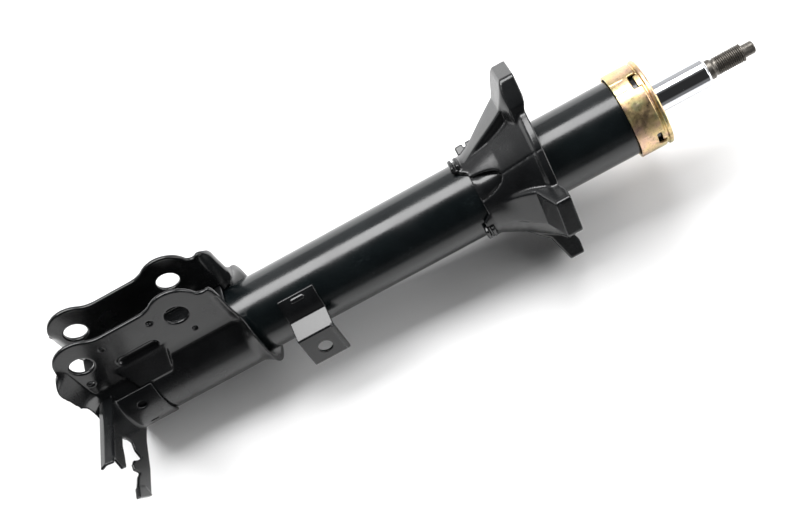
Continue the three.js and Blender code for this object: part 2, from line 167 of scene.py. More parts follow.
def skin(field, grid, step):
    """The closed surface where a sampled field changes sign: one vertex in each crossed cell."""
    strides = np.array([field.shape[1] * field.shape[2], field.shape[2], 1])
    cells, places = [], []
    for axis in range(3):
        near = field[tuple(slice(0, -1) if i == axis else slice(None) for i in range(3))]
        far = field[tuple(slice(1, None) if i == axis else slice(None) for i in range(3))]
        at = np.argwhere((near < 0) != (far < 0))
        first, second = near[tuple(at.T)], far[tuple(at.T)]
        place = at.astype(np.float64)
        place[:, axis] += first / (first - second)
        u, v = [i for i in range(3) if i != axis]
        corner = at @ strides
        ring = np.stack([corner, corner - strides[u], corner - strides[u] - strides[v],
                         corner - strides[v]], 1)
        flipped = (first < 0) ^ (axis == 1)
        ring[flipped] = ring[flipped][:, ::-1]
        cells.append(ring)
        places.append(np.repeat(place[:, None], 4, 1))
    faces = np.concatenate(cells)
    owners, faces = np.unique(faces, return_inverse=True)
    faces = faces.reshape(-1, 4)
    places = np.concatenate(places).reshape(-1, 3)
    count = np.bincount(faces.ravel(), minlength=len(owners))
    low = np.array([axis.ravel()[0] for axis in grid])
    points = np.stack([np.bincount(faces.ravel(), places[:, i]) / count for i in range(3)], 1)
    return points * step + low, faces


# ---- pieces ----
def piece(name, points, faces, body="strut_body", stands_for=(), slot="black_paint"):
    """A shaded mesh from points in mm, riding on its body."""
    mesh = bpy.data.meshes.new(name)
    mesh.from_pydata((np.asarray(points) * MM).tolist(), [], [list(f) for f in faces])
    mesh.validate()
    mesh.shade_smooth()
    obj = bpy.data.objects.new(name, mesh)
    bpy.context.scene.collection.objects.link(obj)
    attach(obj, body)
    if stands_for:
        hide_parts(*stands_for)
    obj.data.materials.append(MATERIALS[slot])
    return obj


def turn(points, angle):
    """Points turned about the strut axis, from +Z towards -Y."""
    return np.asarray(points) @ np.array(Matrix.Rotation(math.radians(angle), 3, "X")).T


def pressed(name, field, grid, step, angle=0, keep=0.35, relax=3, **facts):
    """A piece from a field: its skin, smoothed a little and thinned where it is flat."""
    points, faces = skin(field, grid, step)
    obj = piece(name, turn(points, angle), faces, **facts)
    smoother = obj.modifiers.new("relax", "SMOOTH")
    smoother.factor = 0.5
    smoother.iterations = relax
    thinner = obj.modifiers.new("thin", "DECIMATE")
    thinner.ratio = keep
    settle(obj)
    return obj


def settle(obj):
    """Makes an object's modifiers final."""
    evaluated = obj.evaluated_get(bpy.context.evaluated_depsgraph_get())
    final = bpy.data.meshes.new_from_object(evaluated)
    obj.modifiers.clear()
    obj.data = final
    obj.data.shade_smooth()


def rounded(profile, radius, steps=3):
    """A closed or open profile with its corners rounded, as far as its sides allow."""
    points = [profile[0]]
    for before, corner, after in zip(profile, profile[1:], profile[2:]):
        b, c, a = (np.array(p, float) for p in (before, corner, after))
        reach = min(radius, 0.45 * np.linalg.norm(b - c), 0.45 * np.linalg.norm(a - c))
        start = c + (b - c) / np.linalg.norm(b - c) * reach
        end = c + (a - c) / np.linalg.norm(a - c) * reach
        points += [tuple(start)] + bow(start, c, end, steps)
    return points + [profile[-1]]


def turned(name, profile, steps=160, radius=0.5, shape=None, **facts):
    """A lathed piece from (radius, x) pairs; `shape` may change the radius round the axis."""
    profile = np.array(rounded(profile, radius))
    turns = np.linspace(0, 2 * math.pi, steps, endpoint=False)
    r, x = profile[:, :1], profile[:, 1:]
    r = shape(r, x, turns[None]) if shape else r + 0 * turns[None]
    points = np.stack([x + 0 * r, -r * np.sin(turns), r * np.cos(turns)], -1).reshape(-1, 3)
    rings = len(profile)
    closed = profile[0][0] > 0.01
    faces = []
    for i in range(rings if closed else rings - 1):
        for j in range(steps):
            k = (j + 1) % steps
            n = (i + 1) % rings
            faces.append((i * steps + j, i * steps + k, n * steps + k, n * steps + j))
    if not closed:
        faces.append(list(range(steps))[::-1])
        faces.append([(rings - 1) * steps + j for j in range(steps)])
    return piece(name, points, faces, **facts)


def bead(name, path, width, ripple=2.2, **facts):
    """A weld bead along points in mm: a flattened tube with a ripple for each pool."""
    path = np.array(path, float)
    along = np.r_[0, np.cumsum(np.linalg.norm(np.diff(path, axis=0), axis=1))]
    count = max(int(along[-1] / 0.45), 8)
    at = np.linspace(0, along[-1], count)
    centres = np.stack([np.interp(at, along, path[:, i]) for i in range(3)], 1)
    ahead = np.gradient(centres, axis=0)
    ahead /= np.linalg.norm(ahead, axis=1)[:, None]
    side = np.cross(ahead, [1.0, 0.13, 0.07])
    side /= np.linalg.norm(side, axis=1)[:, None]
    up = np.cross(side, ahead)
    ends = np.clip(np.minimum(at, along[-1] - at) / (0.6 * width), 0.05, 1) ** 0.5
    swell = width / 2 * ends * (1 + 0.09 * np.sin(2 * math.pi * at / ripple)
                                + 0.07 * np.sin(at * 0.83 + 1.1))
    steps = 14
    turns = np.linspace(0, 2 * math.pi, steps, endpoint=False)
    points = (centres[:, None] + swell[:, None, None] * (
        np.cos(turns)[None, :, None] * side[:, None] + np.sin(turns)[None, :, None] * up[:, None]))
    faces = [(i * steps + j, i * steps + (j + 1) % steps, (i + 1) * steps + (j + 1) % steps,
              (i + 1) * steps + j) for i in range(count - 1) for j in range(steps)]
    faces += [list(range(steps))[::-1], [(count - 1) * steps + j for j in range(steps)]]
    return piece(name, points.reshape(-1, 3), faces, **facts)


# ---- materials ----
def material(name):
    """A new node material and its tree."""
    made = bpy.data.materials.new(name)
    made.use_nodes = True
    return made, made.node_tree


def noise(tree, scale, detail=4.0, stretch=(1, 1, 1), roughness=0.55):
    """Noise in the object's own metres; `scale` is in features per metre."""
    place = tree.nodes.new("ShaderNodeTexCoord")
    mapping = tree.nodes.new("ShaderNodeMapping")
    mapping.inputs["Scale"].default_value = stretch
    texture = tree.nodes.new("ShaderNodeTexNoise")
    texture.inputs["Scale"].default_value = scale
    texture.inputs["Detail"].default_value = detail
    texture.inputs["Roughness"].default_value = roughness
    tree.links.new(place.outputs["Object"], mapping.inputs["Vector"])
    tree.links.new(mapping.outputs["Vector"], texture.inputs["Vector"])
    return texture.outputs["Fac"]


def graded(tree, value, stops):
    """A colour ramp from (place, colour) pairs."""
    node = tree.nodes.new("ShaderNodeValToRGB")
    elements = node.color_ramp.elements
    while len(elements) < len(stops):
        elements.new(0.5)
    for element, (place, colour) in zip(elements, stops):
        element.position = place
        element.color = (*colour, 1) if len(colour) == 3 else colour
    tree.links.new(value, node.inputs["Fac"])
    return node.outputs["Color"]


def spread(tree, value, low, high, start=0.3, end=0.7):
    """Maps a texture's value to a range of numbers."""
    node = tree.nodes.new("ShaderNodeMapRange")
    limits = {"From Min": start, "From Max": end, "To Min": low, "To Max": high}
    for socket, number in limits.items():
        node.inputs[socket].default_value = number
    tree.links.new(value, node.inputs["Value"])
    return node.outputs["Result"]


def mixed(tree, share, first, second):
    """A colour between two, by a share from 0 to 1."""
    node = tree.nodes.new("ShaderNodeMix")
    node.data_type = "RGBA"
    tree.links.new(share, node.inputs["Factor"])
    for socket, source in ((node.inputs[6], first), (node.inputs[7], second)):
        if isinstance(source, tuple):
            socket.default_value = (*source, 1)
        else:
            tree.links.new(source, socket)
    return node.outputs[2]


def bumped(tree, height, strength, distance, normal=None):
    """A normal pushed by a texture, on top of an earlier one if given."""
    node = tree.nodes.new("ShaderNodeBump")
    node.inputs["Strength"].default_value = strength
    node.inputs["Distance"].default_value = distance
    tree.links.new(height, node.inputs["Height"])
    if normal:
        tree.links.new(normal, node.inputs["Normal"])
    return node.outputs["Normal"]


def scratches(tree, scale, stretch, width):
    """Thin scattered lines: the edges of a stretched cell pattern, broken up by noise."""
    place = tree.nodes.new("ShaderNodeTexCoord")
    mapping = tree.nodes.new("ShaderNodeMapping")
    mapping.inputs["Scale"].default_value = stretch
    mapping.inputs["Rotation"].default_value = (0.4, 0.9, 0.3)
    cells = tree.nodes.new("ShaderNodeTexVoronoi")
    cells.feature = "DISTANCE_TO_EDGE"
    cells.inputs["Scale"].default_value = scale
    tree.links.new(place.outputs["Object"], mapping.inputs["Vector"])
    tree.links.new(mapping.outputs["Vector"], cells.inputs["Vector"])
    line = spread(tree, cells.outputs["Distance"], 1, 0, 0, width)
    patch = spread(tree, noise(tree, 45, 2), 0, 1, 0.56, 0.66)
    product = tree.nodes.new("ShaderNodeMath")
    product.operation = "MULTIPLY"
    tree.links.new(line, product.inputs[0])
    tree.links.new(patch, product.inputs[1])
    return product.outputs[0]


def shader_of(tree):
    return tree.nodes["Principled BSDF"]


def paint(name, dark, light, gloss, scuff, peel=0.06):
    """Black paint over steel: orange peel, slow gloss changes, fine scratches and scuffs."""
    made, tree = material(name)
    shader = shader_of(tree)
    body = mixed(tree, spread(tree, noise(tree, 60, 6), 0, 1, 0.35, 0.7), dark, light)
    lines = scratches(tree, 190, (1, 4, 4), 0.02)
    tree.links.new(mixed(tree, lines, body, scuff), shader.inputs["Base Color"])
    rough = spread(tree, noise(tree, 38, 7), gloss[0], gloss[1])
    tree.links.new(rough, shader.inputs["Roughness"])
    shader.inputs["Specular IOR Level"].default_value = 0.55
    orange_peel = bumped(tree, noise(tree, 420, 2), peel, 0.0006)
    dust = bumped(tree, noise(tree, 2600, 3), 0.04, 0.0002, orange_peel)
    tree.links.new(dust, shader.inputs["Normal"])
    return made


def metal(name, dark, light, rough, scale=90, stretch=(1, 1, 1), grain=0.05):
    """Bare metal: cloudy colour and roughness, with a fine grain."""
    made, tree = material(name)
    shader = shader_of(tree)
    shader.inputs["Metallic"].default_value = 1
    cloud = noise(tree, scale, 6)
    tree.links.new(graded(tree, cloud, [(0.3, dark), (0.7, light)]), shader.inputs["Base Color"])
    patches = spread(tree, noise(tree, scale * 3, 5), rough[0], rough[1])
    tree.links.new(patches, shader.inputs["Roughness"])
    fine = noise(tree, 1500, 4, stretch)
    tree.links.new(bumped(tree, fine, grain, 0.0003), shader.inputs["Normal"])
    return made


def polymer(name, dark, light, rough, grain=0.15):
    """Rubber or plastic with a fine grain."""
    made, tree = material(name)
    shader = shader_of(tree)
    tree.links.new(graded(tree, noise(tree, 120, 5), [(0.3, dark), (0.7, light)]),
                   shader.inputs["Base Color"])
    patches = spread(tree, noise(tree, 300, 4), rough[0], rough[1])
    tree.links.new(patches, shader.inputs["Roughness"])
    tree.links.new(bumped(tree, noise(tree, 1800, 3), grain, 0.0003), shader.inputs["Normal"])
    return made


def zinc(name):
    """Yellow passivated zinc: gold that drifts to pink and green, drawn lines and dark mottling."""
    made, tree = material(name)
    shader = shader_of(tree)
    shader.inputs["Metallic"].default_value = 1
    hue = graded(tree, noise(tree, 55, 3), [
        (0.30, (0.66, 0.42, 0.36)), (0.43, (0.80, 0.56, 0.36)), (0.52, (0.78, 0.60, 0.30)),
        (0.60, (0.62, 0.58, 0.30)), (0.70, (0.76, 0.60, 0.46))])
    specks = spread(tree, noise(tree, 620, 5, roughness=0.7), 0, 0.75, 0.54, 0.70)
    stained = mixed(tree, specks, hue, (0.30, 0.19, 0.10))
    patches = spread(tree, noise(tree, 70, 6, (1, 0.6, 1), 0.65), 0, 0.72, 0.53, 0.66)
    colour = mixed(tree, patches, stained, (0.13, 0.10, 0.07))
    tree.links.new(colour, shader.inputs["Base Color"])
    tree.links.new(spread(tree, noise(tree, 240, 5), 0.26, 0.46), shader.inputs["Roughness"])
    drawn = bumped(tree, noise(tree, 700, 3, (1, 0.15, 0.15)), 0.12, 0.0003)
    tree.links.new(bumped(tree, noise(tree, 260, 4), 0.10, 0.0005, drawn),
                   shader.inputs["Normal"])
    return made


def chrome(name):
    """Ground and polished hard chrome, with faint marks round the rod and a film of oil."""
    made, tree = material(name)
    shader = shader_of(tree)
    shader.inputs["Metallic"].default_value = 1
    tones = [(0.3, (0.80, 0.82, 0.85)), (0.7, (0.90, 0.91, 0.93))]
    tree.links.new(graded(tree, noise(tree, 40, 4), tones), shader.inputs["Base Color"])
    tree.links.new(spread(tree, noise(tree, 60, 6), 0.035, 0.10), shader.inputs["Roughness"])
    ground = bumped(tree, noise(tree, 900, 3, (1, 0.05, 0.05)), 0.015, 0.0001)
    tree.links.new(ground, shader.inputs["Normal"])
    return made


MATERIALS = {
    "tube_paint": paint(
        "tube_paint", (0.0022, 0.0036, 0.0042), (0.0045, 0.0068, 0.0075), (0.15, 0.25),
        (0.020, 0.026, 0.028), 0.03),
    "black_paint": paint(
        "black_paint", (0.0030, 0.0033, 0.0037), (0.0068, 0.0074, 0.0080), (0.17, 0.30),
        (0.030, 0.032, 0.034), 0.05),
    "yellow_zinc": zinc("yellow_zinc"),
    "hard_chrome": chrome("hard_chrome"),
    "bare_steel": metal(
        "bare_steel", (0.36, 0.37, 0.38), (0.55, 0.56, 0.57), (0.22, 0.38)),
    "sintered_iron": metal(
        "sintered_iron", (0.09, 0.085, 0.08), (0.20, 0.19, 0.18), (0.45, 0.65), 700, grain=0.4),
    "bearing_bronze": metal(
        "bearing_bronze", (0.36, 0.22, 0.10), (0.55, 0.36, 0.18), (0.28, 0.42)),
    "seal_rubber": polymer(
        "seal_rubber", (0.010, 0.010, 0.010), (0.028, 0.027, 0.026), (0.55, 0.75)),
    "band_plastic": polymer(
        "band_plastic", (0.035, 0.033, 0.035), (0.06, 0.058, 0.06), (0.40, 0.55)),
}
PHOSPHATE = metal(
    "phosphate", (0.105, 0.098, 0.088), (0.21, 0.195, 0.175), (0.34, 0.52), 800, grain=0.25)

# Pieces inside the tube keep their CAD shape, with a soft bevel on the turned edges.
for entry in frame["record"]["subparts"]:
    node = frame["nodes"][entry["node"]]
    node.data.materials.clear()
    node.data.materials.append(MATERIALS[entry["material_slot"]])
    edge = node.modifiers.new("edge", "BEVEL")
    edge.width = 0.15 * MM
    edge.limit_method = "ANGLE"
    edge.angle_limit = math.radians(40)
    node.data.shade_smooth()
    edge.harden_normals = True

# ---- reservoir tube and its closed end ----
LIP = 1.5                       # the tube's top is rolled over the seal washer
WALL = 2.0
turned("reservoir_tube", [
    (TUBE_R - WALL, TUBE_LOW.x), (TUBE_R, TUBE_LOW.x), (TUBE_R, TUBE_TOP - LIP),
    (TUBE_R - LIP, TUBE_TOP), (20, TUBE_TOP), (20, TUBE_TOP - WALL),
    (TUBE_R - WALL - 0.4, TUBE_TOP - 2.2), (TUBE_R - WALL, TUBE_TOP - 2.6)],
    stands_for=["outer_tube"], slot="tube_paint")
CUP_SKIRT_R = TUBE_R - WALL - GAP
turned("closed_end", [
    (0.001, 0.6), (8, 0.6), (9.5, 0), (20.5, 0), (23.4, 1.0), (TUBE_R - 0.1, 3.0),
    (TUBE_R - 0.1, 4), (CUP_SKIRT_R, 4), (CUP_SKIRT_R, CUP_TOP), (16, CUP_TOP), (16, 6),
    (0.001, 6)], radius=1.6, stands_for=["base_cup"])


def ring(x, radius, start, end, steps=90):
    """Points round the axis at x, between two angles."""
    turns = np.radians(np.linspace(start, end, steps + 1))
    return [(x, -radius * math.sin(t), radius * math.cos(t)) for t in turns]


bead("closed_end_weld", ring(4.1, TUBE_R - 0.35, 0, 359, 180), 1.9)

# ---- knuckle bracket ----
EAR_HALF = 14.5                 # centre of each ear's sheet, across
EAR_SHEET = 3.0
EAR_DRAW = 0.5                  # the ears stand this much wider at the fold
WRAP_R = TUBE_R + GAP + EAR_SHEET / 2
FOLD_TURN = math.asin((EAR_HALF + EAR_DRAW) / WRAP_R)
FOLD_OUT = WRAP_R * math.cos(FOLD_TURN)
BOLT_OUT = 53.8
BOLT_X = (-1.7, 67.8)
BOLT_HOLE_R = 7.5
LOBE_R = 18.2
LOBE_OUT = 57.3
LOBE_X = (1.0, 69.6)
EAR_DIP = 68.6
FRONT_HORN, REAR_HORN = 1.0, 2.5
PINHOLES = [(16.6, 59, 1.5), (51.2, 59, 1.9), (70.5, 35.3, 1.5), (-7, 35.4, 2.0)]
DART_X = (15.0, 44.0)
DART_LEAN = 0.35
DENT_X = (20, 42.5)
DENT_OUT = 40.8


def flare(x, out, rear):
    """How far the bracket's ends are rolled outward; the roll fades towards the lobes."""
    on_wrap = 1 - ramp(out, 15, 30)
    fade = 1 - ramp(out, 53, 62)
    fade = np.where(rear, 1 - ramp(out, 50, 66), fade)
    high_reach = np.where(rear, 9.5, 5.6)
    low_start = -11.5 * (1 - on_wrap) - 8 * on_wrap
    low_reach = 9 * (1 - on_wrap) + 5 * on_wrap
    low_length = 9.5 * (1 - on_wrap) + 7 * on_wrap
    low = np.maximum(0, (low_start - x) / low_length)
    high = np.maximum(0, (x - 91.5) / 10)
    return (low_reach * low ** 1.35 + high_reach * high ** 1.5) * fade


def bracket_outline(horn):
    """Outline across the ears, (x, out); `horn` is how far the upper end's tip stands out."""
    low, high = BRACKET_LOW.x, BRACKET_HIGH.x
    points = [(-15, -60), (-15, 14)]
    points += bow(points[-1], (-16, 24), (low + 0.4, 29))
    points += [(low - 0.8, 48)]
    points += bow(points[-1], (low - 0.8, 57), (LOBE_X[0] - LOBE_R, LOBE_OUT + 1))
    points += arc((LOBE_X[0], LOBE_OUT), LOBE_R, 180, 50, 20)
    points += bow(points[-1], (LOBE_X[0] + 16, EAR_DIP), (LOBE_X[0] + 21, EAR_DIP))
    points += [(LOBE_X[1] - 21, EAR_DIP)]
    points += bow(points[-1], (LOBE_X[1] - 16, EAR_DIP), (LOBE_X[1] - 11.7, LOBE_OUT + 13.9))
    points += arc((LOBE_X[1], LOBE_OUT), LOBE_R, 130, 18, 18)
    points += bow(points[-1], (90, 59.5), (93.5, 60 + horn))
    points += bow(points[-1], (97 + 1.1 * horn, 60 + horn), (96 + 1.3 * horn, 46))
    points += bow(points[-1], (95 + 1.8 * horn, 32), (99 + horn / 2, 24))
    points += bow(points[-1], (high, 18), (high, 8))
    return points + [(high, -60)]


BRACKET_STEP = 0.6
x, y, z = samples((-25, -37, -37), (104, 37, 78), BRACKET_STEP)
side = np.abs(y)
bend = flare(x, z, y > 0)
slope = np.sqrt(1 + np.gradient(bend, BRACKET_STEP, axis=0) ** 2)
draw = EAR_DRAW * (1 - ramp(z, FOLD_OUT, 31))
from_fold = np.hypot(side - EAR_HALF - EAR_DRAW - bend, z - FOLD_OUT)
ear_line = np.where(z > FOLD_OUT, np.abs(side - EAR_HALF - draw - bend) / slope, from_fold)
from_wrap = np.abs(np.hypot(side, z) - WRAP_R - bend) / slope
wrap_line = np.where(np.arctan2(side, z) > FOLD_TURN, from_wrap, from_fold)
sheet = blend(ear_line, wrap_line, 2.2) - EAR_SHEET / 2
# a pressed dart bridges the fold on each ear, under a long dent in the front ear
dart = outline_distance([(13.2, 36), (16.1, 36), (23.4, 18.5), (21.5, 16), (14, 20)], side, z)
dart_ends = (slab(x, *DART_X) + DART_LEAN * (22 - z)) / 1.06
dart = trim(dart, dart_ends, 2.5)
sheet = blend(sheet, dart, 1.5)
outline = np.where(y < 0, outline_distance(bracket_outline(FRONT_HORN), x, z),
                   outline_distance(bracket_outline(REAR_HORN), x, z))
bracket = trim(sheet, outline, 0.9)
for hole_x in BOLT_X:
    bracket = cut(bracket, np.hypot(x - hole_x, z - BOLT_OUT) - BOLT_HOLE_R, 0.8)
for hole_x, hole_out, hole_r in PINHOLES:
    pinhole = np.hypot(x - hole_x, z - hole_out) - hole_r
    bracket = cut(bracket, np.maximum(pinhole, y), 0.6)
dent = np.hypot(np.maximum(slab(x, *DENT_X), 0), z - DENT_OUT)
backing = np.maximum(np.hypot(dent, side - 16.2) - 5.2, side - 15.5)
bracket = blend(bracket, np.maximum(backing, y), 1.0)
bracket = cut(bracket, np.maximum(np.hypot(dent, side - 16.6) - 3.7, y), 1.0)
pressed("knuckle_bracket_pressing", bracket, (x, y, z), BRACKET_STEP, EAR_ANGLE,
        stands_for=["knuckle_bracket"])

# the closing plate between the ears, with a shallow rib
PLATE_STEP = 0.5
PLATE_HALF = 12.7
plate_top = TUBE_R + GAP + EAR_SHEET
x, y, z = samples((PLATE_LOW.x - 2, -15, 22), (PLATE_HIGH.x + 2, 15, 32), PLATE_STEP)
rise = 0.9 * (1 - ramp(np.abs(y), 3.5, 6)) * (1 - ramp(np.abs(x - 38.7), 34, 40))
plate = trim(slab(z - rise, TUBE_R + GAP, plate_top), slab(y, -PLATE_HALF, PLATE_HALF), 0.8)
plate = trim(plate, slab(x, PLATE_LOW.x, PLATE_HIGH.x), 0.8)
pressed("closing_plate", plate, (x, y, z), PLATE_STEP, EAR_ANGLE,
        stands_for=["bracket_closing_plate"])
WELD_SIDE = 13.4
for side_name, weld_y in (("front", -WELD_SIDE), ("rear", WELD_SIDE)):
    for end_name, start, end in (("low", -8, 18), ("high", 48, 86)):
        path = [(start + (end - start) * i / 12, weld_y, plate_top + 0.1) for i in range(13)]
        bead(f"closing_plate_weld_{side_name}_{end_name}", turn(path, EAR_ANGLE), 2.4)

# ---- sensor bracket ----
SHEET = 2.0
PLATE_X = -3.5
SENSOR_STEP = 0.45
x, y, z = samples((-14, -30, -4), (28, 34, 97), SENSOR_STEP)
across = -y                     # positive away from the ears
radius = np.hypot(y, z)
inner = WRAP_R + EAR_SHEET / 2 + GAP
angle = np.degrees(np.arctan2(across, z))
saddle = np.abs(radius - inner - SHEET / 2) - SHEET / 2
saddle = trim(saddle, slab(x, PLATE_X, SADDLE_END), 0.6)
saddle = trim(saddle, slab(angle, -26, 44) * math.pi / 180 * inner, 0.6)
legs = [(-17.5, 80.5), (-6.9, 82.5), (-3.2, 78.5), (-4.4, 70), (-6, 63), (-6.2, 55),
        (-1.5, 51), (5.6, 49.2), (9, 54), (15.3, 55.5), (10.5, 61.5), (6.2, 65), (4.6, 70),
        (6.4, 73.4), (12.4, 71), (10, 76.5), (8.9, 84.5), (10.3, 93.5), (24.2, 81.5), (25, 58),
        (23, 34), (24, 20)]
root = [(inner * math.sin(math.radians(a)), inner * math.cos(math.radians(a)))
        for a in range(44, -37, -8)]
leaf = outline_distance(legs + root, across, z)
leaf = trim(leaf, slab(x, PLATE_X, PLATE_X + SHEET), 0.7)
body = blend(leaf, saddle, 2.6)
# one side of the shorter leg is folded over
fold_line = [(PLATE_X + 1, -17), (PLATE_X - 3.5, -17.6), (PLATE_X - 7.2, -16)]
folded = trim(line_distance(fold_line, x, across) - SHEET / 2, slab(z, 27, 85), 0.7)
body = blend(body, folded, 1.6)
# the tip of the longer leg is doubled
tip = outline_distance([(9.5, 86), (10.3, 94), (24.2, 81.8), (17, 80)], across, z)
tip = trim(tip, slab(x, PLATE_X - 1.2, PLATE_X + SHEET), 0.6)
body = blend(body, tip, 1.2)
body = trim(body, inner - radius, 0.3)
hole_turn = np.radians(-6.0)
hole_y = across * math.cos(hole_turn) - z * math.sin(hole_turn)
body = cut(body, np.maximum(np.hypot(hole_y, (x - 12) * 0.85) - 2.5, -z), 0.5)
slot_across = radius * np.radians(angle - 30)
slot = np.hypot(slot_across, np.maximum(np.abs(x - 10) - 2.4, 0)) - 0.7
body = cut(body, np.maximum(slot, -z), 0.3)
pressed("sensor_bracket_pressing", body, (x, y, z), SENSOR_STEP, SENSOR_ANGLE,
        stands_for=["sensor_bracket"])

# ---- hose bracket ----
HOSE_STEP = 0.4
x, y, z = samples((119, -52, 6), (155, 6, 34), HOSE_STEP)
across = -y
radius = np.hypot(y, z)
angle = np.degrees(np.arctan2(across, z))
inner = TUBE_R + GAP
saddle_line = [(inner + 1) * np.array((math.sin(t), math.cos(t)))
               for t in np.radians(np.linspace(2, 36, 14))]
fold, tab_end = (28.6, 27.4), (46.2, 10.8)
line = [tuple(p) for p in saddle_line] + [fold, tab_end]
strap = line_distance(line, across, z) - SHEET / 2
strap = trim(strap, slab(x, HOSE_LOW.x, HOSE_HIGH.x), 0.6)
# a narrow lip is turned up along the tab's upper edge
lip = outline_distance([(27.5, 27.5), (29.5, 30.0), (47.3, 12.6), (45.4, 10.4)], across, z)
lip = trim(lip, slab(x, HOSE_HIGH.x - SHEET, HOSE_HIGH.x), 0.5)
strap = blend(strap, lip, 1.0)
tab_x = (HOSE_LOW.x + HOSE_HIGH.x) / 2
along = np.array([tab_end[0] - fold[0], tab_end[1] - fold[1]])
reach = float(np.hypot(*along))
along = along / reach
down_tab = (across - fold[0]) * along[0] + (z - fold[1]) * along[1] - 0.56 * reach
strap = cut(strap, np.maximum(np.hypot(down_tab, x - tab_x) - 4.7, 24 - across), 0.5)
emboss = np.hypot(radius * np.radians(angle - 8), np.maximum(np.abs(x - tab_x) - 3.5, 0)) - 1.1
strap = blend(strap, trim(emboss, radius - inner - SHEET - 0.7, 0.5), 0.8)
pressed("hose_bracket_pressing", strap, (x, y, z), HOSE_STEP, HOSE_ANGLE, keep=0.5,
        stands_for=["hose_bracket"])

# ---- spring seat ----
NECK_X = 262.0
SEAT_SHEET = 2.6
RIM_R = 52.0
LOBE_REACH = 68.0
LOBE_HALF = 13.5
SEAT_TILT = 0.079               # rise per mm towards the lobe at 315 degrees
WALL_TOP = 312.5
LOBE_TOP = 315.0
SEAT_STEP = 0.58
x, y, z = samples((255, -72, -72), (319, 72, 72), SEAT_STEP)
radius = np.hypot(y, z)
neck_r = TUBE_R + GAP + SEAT_SHEET
cone_line = [(200, 0), (200, neck_r), (268, neck_r), (286, neck_r + 8), (305.5, RIM_R - 3.4),
             (308.5, RIM_R), (360, RIM_R), (360, 0)]
outer = outline_distance(cone_line, x, radius)
roof = [(255, 0), (268, 27), (271, 29), (298.5, 50.5), (304.5, 66), (306, LOBE_REACH),
        (360, LOBE_REACH), (360, 0)]
late_roof = [(255, 0), (274, 26), (278, 31), (298, 47), (303, 62), (305, LOBE_REACH)]
late_roof += roof[-2:]
SEAT_LOBES = [(52, late_roof, 0), (135, late_roof, 0), (225, roof, 0), (315, roof, 0.62)]
for lobe_angle, ridge, web in SEAT_LOBES:
    lobe_turn = math.radians(lobe_angle)
    out = z * math.cos(lobe_turn) - y * math.sin(lobe_turn)
    wide = np.abs(y * math.cos(lobe_turn) + z * math.sin(lobe_turn))
    half = 7 + (LOBE_HALF - 7) * ramp(x, 269, 299)
    half = half + web * ramp(x, 299, 305) * np.clip(LOBE_REACH - out, 0, 16)
    lobe = trim(outline_distance(ridge, x, out), (wide - half) * 0.9, 2.2)
    outer = blend(outer, lobe, 1.6)
# a half-moon recess carries the neck's curve into the cone
RECESS_ANGLE = 11
around = np.arctan2(-y, z)
off = np.abs(around - math.radians(RECESS_ANGLE)) * radius
moon = off - 8.5 * np.sqrt(np.clip(1 - ((x - 266) / 19) ** 2, 0, 1))
floor_r = neck_r + 1.4 - off ** 2 / 26
outer = cut(outer, np.maximum(moon * 0.8, (floor_r - radius) * 0.9), 0.8)
shell = np.maximum(outer, -(outer + SEAT_SHEET))
top = LOBE_TOP + (WALL_TOP - LOBE_TOP) * (1 - ramp(radius, 51, 60))
shell = trim(shell, x - top, 0.8)
front = np.degrees(np.abs(around - math.radians(17)))
neck_start = NECK_X + 5 * (1 - ramp(front, 30, 42))
shell = trim(shell, neck_start - x, 0.8)
# the ledge that the spring sits on
ledge = trim(slab(x, 307.4, 309.5), slab(radius, 42.5, RIM_R - 1.5), 0.6)
shell = blend(shell, trim(ledge, outer, 0.4), 1.0)
# folded stop lugs on the neck, and a taller tab at the back
STOP_LUGS = [
    (-36, 262, 3.4, 5.6, 6.0), (76, 263, 3.4, 5.0, 5.6), (-93, 273, 6.5, 6.5, 9.5)]
for lug_angle, lug_x, lug_long, lug_half, height in STOP_LUGS:
    off = (around - math.radians(lug_angle) + math.pi) % (2 * math.pi) - math.pi
    lug = trim(slab(x, lug_x - lug_long, lug_x + lug_long), np.abs(off) * radius - lug_half, 1.6)
    lug = trim(lug, slab(radius, TUBE_R + GAP, TUBE_R + GAP + height), 1.6)
    groove = trim(np.abs(x - lug_x) - 0.9, TUBE_R + GAP + height - 3 - radius, 0.4)
    shell = blend(shell, cut(lug, groove, 0.6), 1.2)
shell = np.maximum(shell, TUBE_R + GAP - radius)
points, faces = skin(shell, (x, y, z), SEAT_STEP)
lean = SEAT_TILT * (points[:, 1] + points[:, 2]) / math.sqrt(2)
points[:, 0] += lean * ramp(points[:, 0], 268, 300)
seat = piece("spring_seat_pressing", points, faces, stands_for=["spring_seat"])
smoother = seat.modifiers.new("relax", "SMOOTH")
smoother.factor = 0.5
smoother.iterations = 3
seat.modifiers.new("thin", "DECIMATE").ratio = 0.35
settle(seat)

